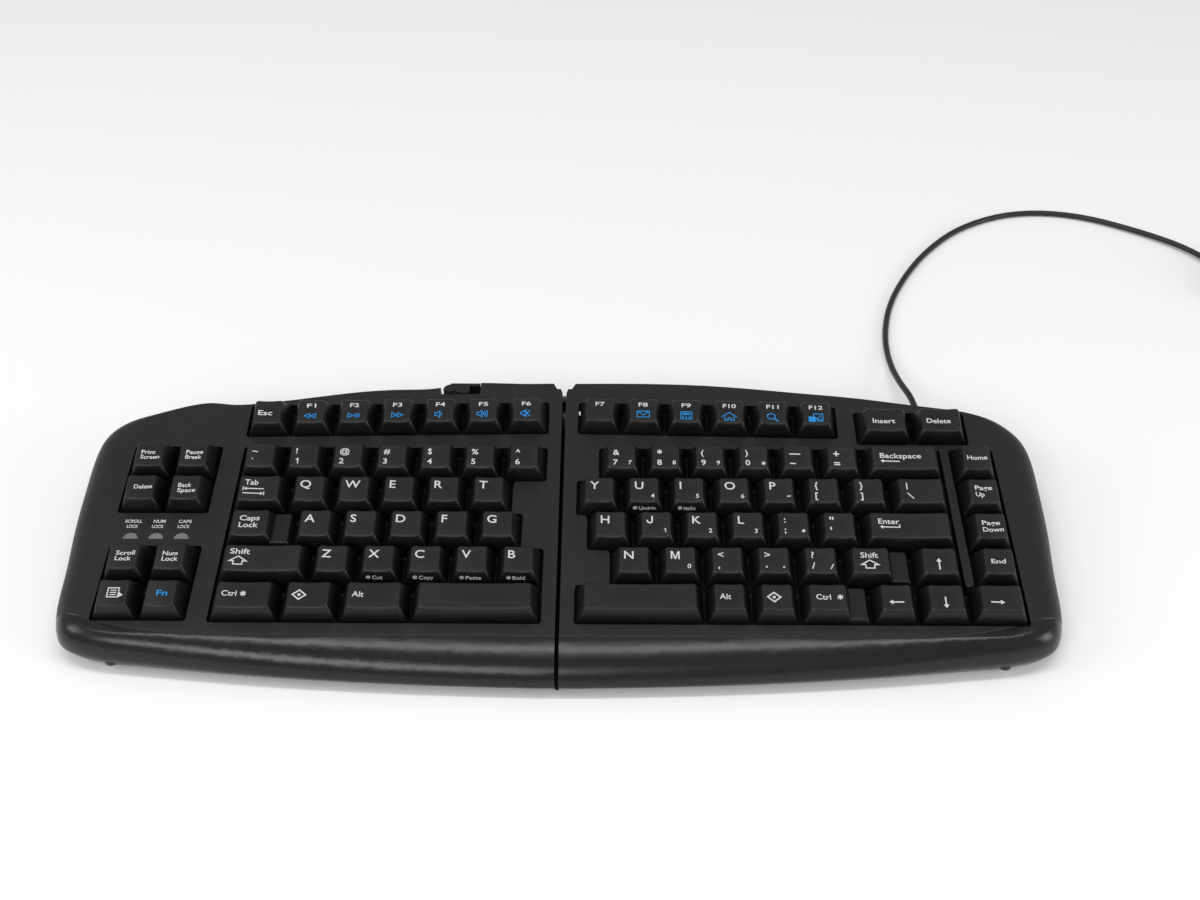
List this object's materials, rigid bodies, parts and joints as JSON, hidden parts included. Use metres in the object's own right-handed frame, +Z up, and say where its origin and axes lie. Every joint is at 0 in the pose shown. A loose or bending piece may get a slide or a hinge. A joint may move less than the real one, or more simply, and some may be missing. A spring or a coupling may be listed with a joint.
{
  "type": "split keyboard",
  "caption": "Black two-part computer keyboard whose halves meet at a lockable ball joint, so that they splay, tent and level; compact key field with side keys, and a cable.",
  "frame": {"origin": "on the table, at the middle of the outline of the two halves, without the cable", "axes": "+X along the keyboard to its user's right, +Y to the rear, away from the user, +Z up"},
  "size_m": [0.6135, 0.3669, 0.0388],
  "materials": {
    "case": "satin",
    "key": "satin",
    "plate": "matte",
    "dome": "matte",
    "sensor": "brushed",
    "screw": "zinc plated",
    "foot": "matte",
    "board": "solder mask",
    "lens": "smoky, glossy",
    "jaw": "satin",
    "steel": "polished",
    "bracket": "brushed",
    "lever": "satin",
    "cord": "satin",
    "tie": "matte",
    "plug": "satin",
    "shell": "bright nickel",
    "wire": "matte"
  },
  "bodies": {
    "right_half": {"right_bottom_case": "case", "right_top_case": "case", "right_key_plate": "plate", "right_dome_sheet": "dome", "right_sensor_plate": "sensor", "right_screws": "screw", "right_feet": "foot", "controller_board": "board", "stud_bracket": "bracket", "joint_stud": "steel", "link_cable_right": "wire", "strain_relief": "cord", "usb_cable": "cord", "cable_coil": "cord", "coil_tie": "tie", "usb_plug_body": "plug", "usb_plug_shell": "shell"},
    "ball": {"joint_ball": "steel"},
    "liner": {"socket_liner": "bracket"},
    "left_half": {"left_bottom_case": "case", "left_top_case": "case", "left_key_plate": "plate", "left_dome_sheet": "dome", "left_sensor_plate": "sensor", "left_screws": "screw", "left_feet": "foot", "indicator_board": "board", "indicator_lenses": "lens", "ball_socket": "jaw", "clamp_rod": "bracket", "link_cable_left": "wire"},
    "lever": {"lock_lever": "lever"},
    "number_left": {"number_keys_left": "key"},
    "tab": {"tab_key": "key"},
    "qwert": {"qwert_keys": "key"},
    "caps_lock": {"caps_lock_key": "key"},
    "asdfg": {"asdfg_keys": "key"},
    "left_shift": {"left_shift_key": "key"},
    "zxcvb": {"zxcvb_keys": "key"},
    "left_ctrl": {"left_ctrl_key": "key"},
    "left_os_alt": {"left_os_alt_keys": "key"},
    "left_space": {"left_space_key": "key"},
    "function_left": {"function_keys_left": "key"},
    "side_upper": {"side_keys_upper": "key"},
    "side_lower": {"side_keys_lower": "key"},
    "number_right": {"number_keys_right": "key"},
    "backspace": {"backspace_key": "key"},
    "yuiop": {"yuiop_keys": "key"},
    "backslash": {"backslash_key": "key"},
    "hjkl": {"hjkl_keys": "key"},
    "enter": {"enter_key": "key"},
    "nm": {"nm_keys": "key"},
    "right_shift": {"right_shift_key": "key"},
    "right_space": {"right_space_key": "key"},
    "right_alt_os": {"right_alt_os_keys": "key"},
    "right_ctrl": {"right_ctrl_key": "key"},
    "arrow": {"arrow_keys": "key"},
    "nav": {"nav_keys": "key"},
    "insert_delete": {"insert_delete_keys": "key"},
    "function_right": {"function_keys_right": "key"}
  },
  "joints": [
    {"name": "twist", "type": "hinge", "parent": "right_half", "child": "ball", "pos_m": [0, 0.06946, 0.0145], "axis": [1, 0, 0], "range_deg": [-4, 4]},
    {"name": "tent", "type": "hinge", "parent": "ball", "child": "liner", "pos_m": [0, 0.06946, 0.0145], "axis": [0, -0.9954, -0.0958], "range_deg": [0, 30]},
    {"name": "splay", "type": "hinge", "parent": "liner", "child": "left_half", "pos_m": [0, 0.06946, 0.0145], "axis": [0, 0, -1], "range_deg": [0, 30]},
    {"name": "lever_swing", "type": "hinge", "parent": "left_half", "child": "lever", "pos_m": [-0.0524, 0.07399, 0.03106], "axis": [0, -0.0958, 0.9954], "range_deg": [0, 90]},
    {"name": "press_number_left", "type": "slide", "parent": "left_half", "child": "number_left", "axis": [0, 0.0958, -0.9954], "range_m": [0, 0.0035], "stiffness_N_per_m": 160, "springref_m": -0.002, "deforming": ["left_dome_sheet"]},
    {"name": "press_tab", "type": "slide", "parent": "left_half", "child": "tab", "axis": [0, 0.0958, -0.9954], "range_m": [0, 0.0035], "stiffness_N_per_m": 160, "springref_m": -0.002, "deforming": ["left_dome_sheet"]},
    {"name": "press_qwert", "type": "slide", "parent": "left_half", "child": "qwert", "axis": [0, 0.0958, -0.9954], "range_m": [0, 0.0035], "stiffness_N_per_m": 160, "springref_m": -0.002, "deforming": ["left_dome_sheet"]},
    {"name": "press_caps_lock", "type": "slide", "parent": "left_half", "child": "caps_lock", "axis": [0, 0.0958, -0.9954], "range_m": [0, 0.0035], "stiffness_N_per_m": 160, "springref_m": -0.002, "deforming": ["left_dome_sheet"]},
    {"name": "press_asdfg", "type": "slide", "parent": "left_half", "child": "asdfg", "axis": [0, 0.0958, -0.9954], "range_m": [0, 0.0035], "stiffness_N_per_m": 160, "springref_m": -0.002, "deforming": ["left_dome_sheet"]},
    {"name": "press_left_shift", "type": "slide", "parent": "left_half", "child": "left_shift", "axis": [0, 0.0958, -0.9954], "range_m": [0, 0.0035], "stiffness_N_per_m": 160, "springref_m": -0.002, "deforming": ["left_dome_sheet"]},
    {"name": "press_zxcvb", "type": "slide", "parent": "left_half", "child": "zxcvb", "axis": [0, 0.0958, -0.9954], "range_m": [0, 0.0035], "stiffness_N_per_m": 160, "springref_m": -0.002, "deforming": ["left_dome_sheet"]},
    {"name": "press_left_ctrl", "type": "slide", "parent": "left_half", "child": "left_ctrl", "axis": [0, 0.0958, -0.9954], "range_m": [0, 0.0035], "stiffness_N_per_m": 160, "springref_m": -0.002, "deforming": ["left_dome_sheet"]},
    {"name": "press_left_os_alt", "type": "slide", "parent": "left_half", "child": "left_os_alt", "axis": [0, 0.0958, -0.9954], "range_m": [0, 0.0035], "stiffness_N_per_m": 160, "springref_m": -0.002, "deforming": ["left_dome_sheet"]},
    {"name": "press_left_space", "type": "slide", "parent": "left_half", "child": "left_space", "axis": [0, 0.0958, -0.9954], "range_m": [0, 0.0035], "stiffness_N_per_m": 160, "springref_m": -0.002, "deforming": ["left_dome_sheet"]},
    {"name": "press_function_left", "type": "slide", "parent": "left_half", "child": "function_left", "axis": [0, 0.0958, -0.9954], "range_m": [0, 0.0035], "stiffness_N_per_m": 160, "springref_m": -0.002, "deforming": ["left_dome_sheet"]},
    {"name": "press_side_upper", "type": "slide", "parent": "left_half", "child": "side_upper", "axis": [0, 0.0958, -0.9954], "range_m": [0, 0.0035], "stiffness_N_per_m": 160, "springref_m": -0.002, "deforming": ["left_dome_sheet"]},
    {"name": "press_side_lower", "type": "slide", "parent": "left_half", "child": "side_lower", "axis": [0, 0.0958, -0.9954], "range_m": [0, 0.0035], "stiffness_N_per_m": 160, "springref_m": -0.002, "deforming": ["left_dome_sheet"]},
    {"name": "press_number_right", "type": "slide", "parent": "right_half", "child": "number_right", "axis": [0, 0.0958, -0.9954], "range_m": [0, 0.0035], "stiffness_N_per_m": 160, "springref_m": -0.002, "deforming": ["right_dome_sheet"]},
    {"name": "press_backspace", "type": "slide", "parent": "right_half", "child": "backspace", "axis": [0, 0.0958, -0.9954], "range_m": [0, 0.0035], "stiffness_N_per_m": 160, "springref_m": -0.002, "deforming": ["right_dome_sheet"]},
    {"name": "press_yuiop", "type": "slide", "parent": "right_half", "child": "yuiop", "axis": [0, 0.0958, -0.9954], "range_m": [0, 0.0035], "stiffness_N_per_m": 160, "springref_m": -0.002, "deforming": ["right_dome_sheet"]},
    {"name": "press_backslash", "type": "slide", "parent": "right_half", "child": "backslash", "axis": [0, 0.0958, -0.9954], "range_m": [0, 0.0035], "stiffness_N_per_m": 160, "springref_m": -0.002, "deforming": ["right_dome_sheet"]},
    {"name": "press_hjkl", "type": "slide", "parent": "right_half", "child": "hjkl", "axis": [0, 0.0958, -0.9954], "range_m": [0, 0.0035], "stiffness_N_per_m": 160, "springref_m": -0.002, "deforming": ["right_dome_sheet"]},
    {"name": "press_enter", "type": "slide", "parent": "right_half", "child": "enter", "axis": [0, 0.0958, -0.9954], "range_m": [0, 0.0035], "stiffness_N_per_m": 160, "springref_m": -0.002, "deforming": ["right_dome_sheet"]},
    {"name": "press_nm", "type": "slide", "parent": "right_half", "child": "nm", "axis": [0, 0.0958, -0.9954], "range_m": [0, 0.0035], "stiffness_N_per_m": 160, "springref_m": -0.002, "deforming": ["right_dome_sheet"]},
    {"name": "press_right_shift", "type": "slide", "parent": "right_half", "child": "right_shift", "axis": [0, 0.0958, -0.9954], "range_m": [0, 0.0035], "stiffness_N_per_m": 160, "springref_m": -0.002, "deforming": ["right_dome_sheet"]},
    {"name": "press_right_space", "type": "slide", "parent": "right_half", "child": "right_space", "axis": [0, 0.0958, -0.9954], "range_m": [0, 0.0035], "stiffness_N_per_m": 160, "springref_m": -0.002, "deforming": ["right_dome_sheet"]},
    {"name": "press_right_alt_os", "type": "slide", "parent": "right_half", "child": "right_alt_os", "axis": [0, 0.0958, -0.9954], "range_m": [0, 0.0035], "stiffness_N_per_m": 160, "springref_m": -0.002, "deforming": ["right_dome_sheet"]},
    {"name": "press_right_ctrl", "type": "slide", "parent": "right_half", "child": "right_ctrl", "axis": [0, 0.0958, -0.9954], "range_m": [0, 0.0035], "stiffness_N_per_m": 160, "springref_m": -0.002, "deforming": ["right_dome_sheet"]},
    {"name": "press_arrow", "type": "slide", "parent": "right_half", "child": "arrow", "axis": [0, 0.0958, -0.9954], "range_m": [0, 0.0035], "stiffness_N_per_m": 160, "springref_m": -0.002, "deforming": ["right_dome_sheet"]},
    {"name": "press_nav", "type": "slide", "parent": "right_half", "child": "nav", "axis": [0, 0.0958, -0.9954], "range_m": [0, 0.0035], "stiffness_N_per_m": 160, "springref_m": -0.002, "deforming": ["right_dome_sheet"]},
    {"name": "press_insert_delete", "type": "slide", "parent": "right_half", "child": "insert_delete", "axis": [0, 0.0958, -0.9954], "range_m": [0, 0.0035], "stiffness_N_per_m": 160, "springref_m": -0.002, "deforming": ["right_dome_sheet"]},
    {"name": "press_function_right", "type": "slide", "parent": "right_half", "child": "function_right", "axis": [0, 0.0958, -0.9954], "range_m": [0, 0.0035], "stiffness_N_per_m": 160, "springref_m": -0.002, "deforming": ["right_dome_sheet"]}
  ]
}
